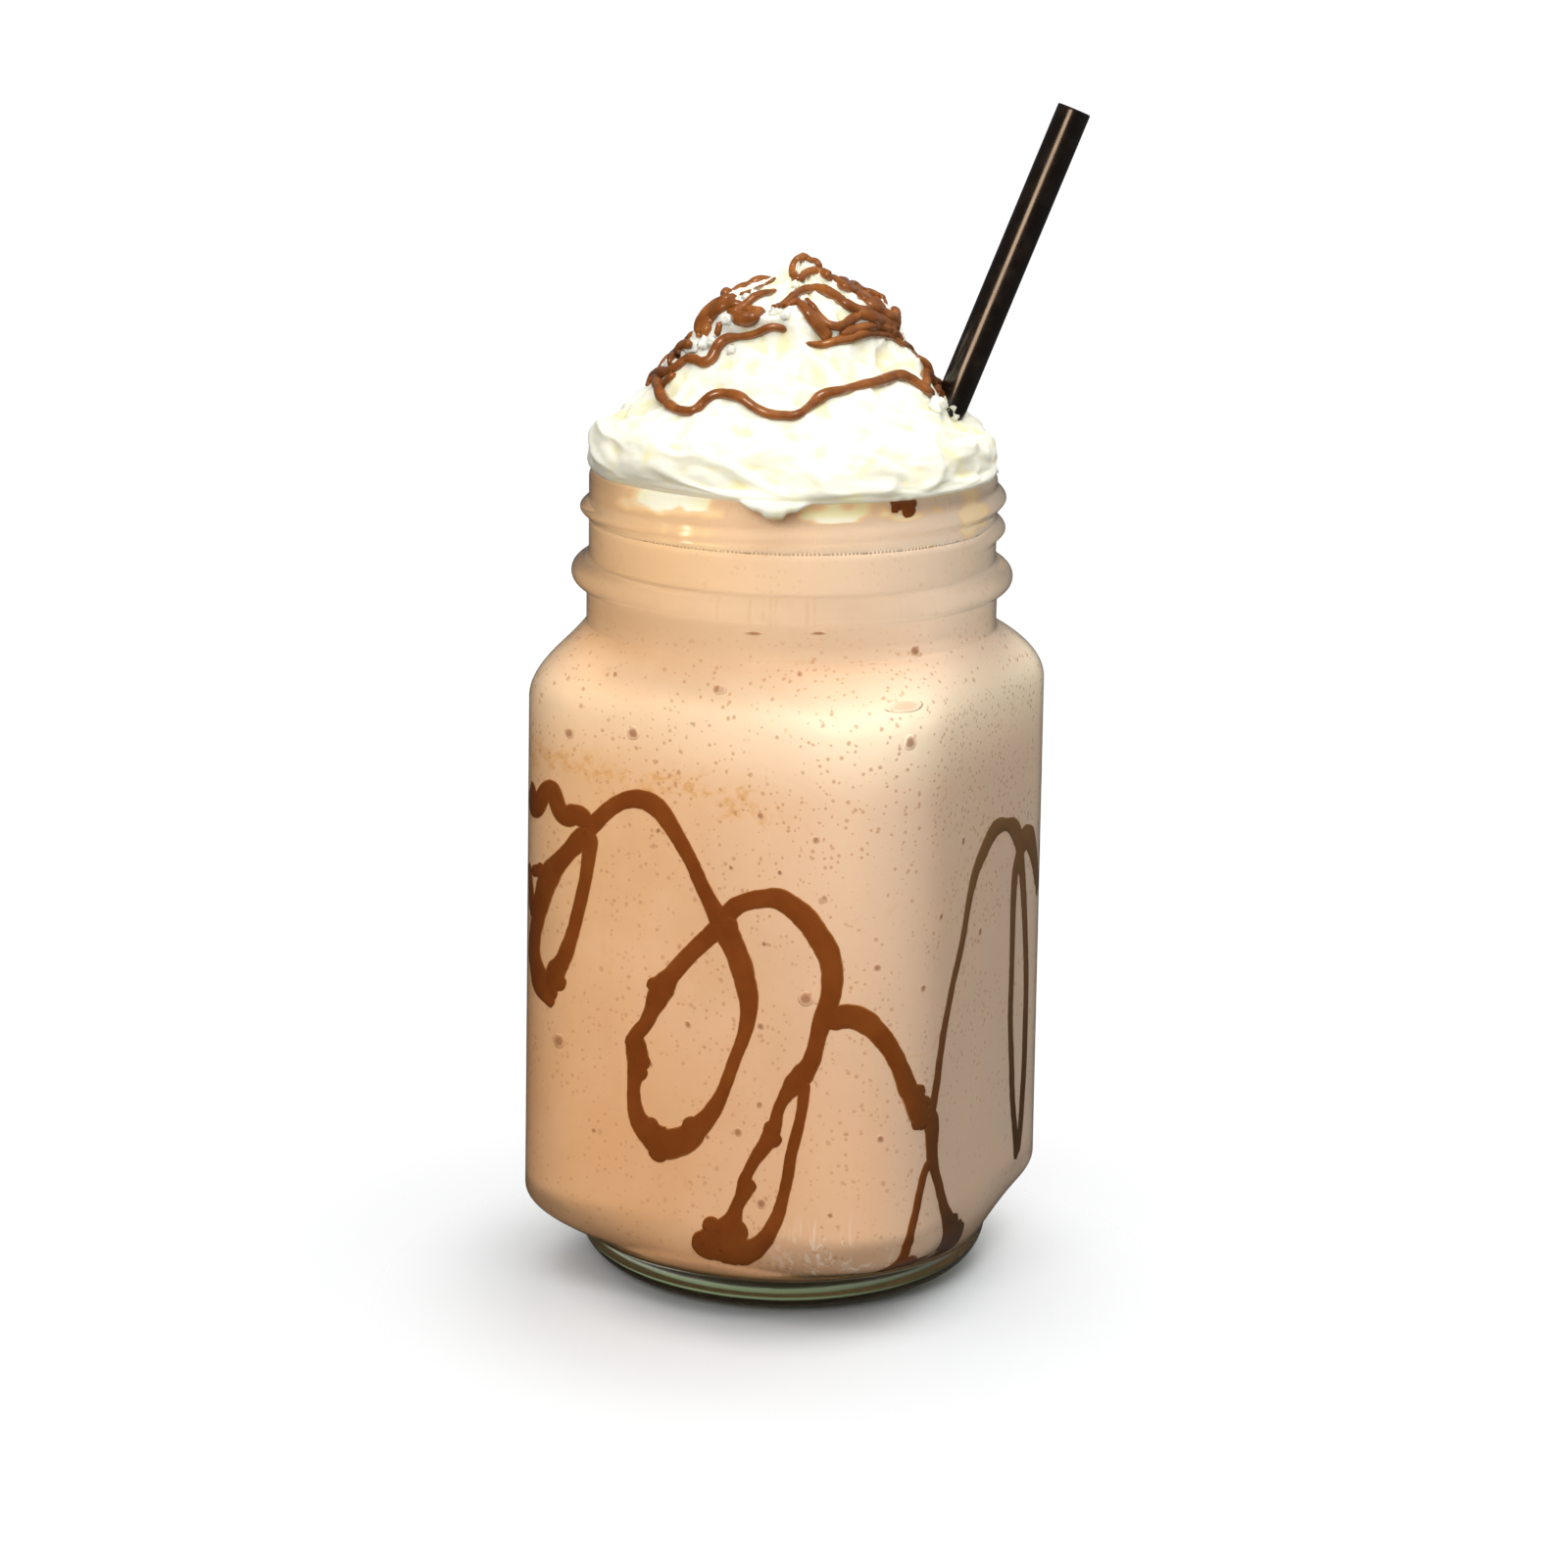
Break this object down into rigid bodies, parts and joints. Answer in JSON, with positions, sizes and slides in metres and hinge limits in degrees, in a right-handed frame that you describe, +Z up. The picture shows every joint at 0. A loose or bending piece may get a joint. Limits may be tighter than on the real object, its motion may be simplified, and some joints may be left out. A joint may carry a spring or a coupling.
{
  "type": "milkshake",
  "caption": "Milkshake in a square screw-neck glass jar, topped with whipped cream and chocolate drizzle, with a black drinking straw.",
  "frame": {"origin": "middle of the flat base that the jar stands on", "axes": "+Z up along the jar's axis, -Y out of the jar's front face; the straw leans towards +X and +Y"},
  "size_m": [0.0763, 0.0738, 0.194],
  "materials": {
    "glass": "clear pressed glass with a faint green tint",
    "shake": "smooth beige milkshake with fine brown specks",
    "cream": "soft matte whipped cream",
    "chocolate": "glossy dark chocolate sauce",
    "straw": "glossy black plastic"
  },
  "bodies": {
    "root": {"jar": "glass", "shake": "shake", "cream": "cream", "straw": "straw"}
  },
  "joints": []
}
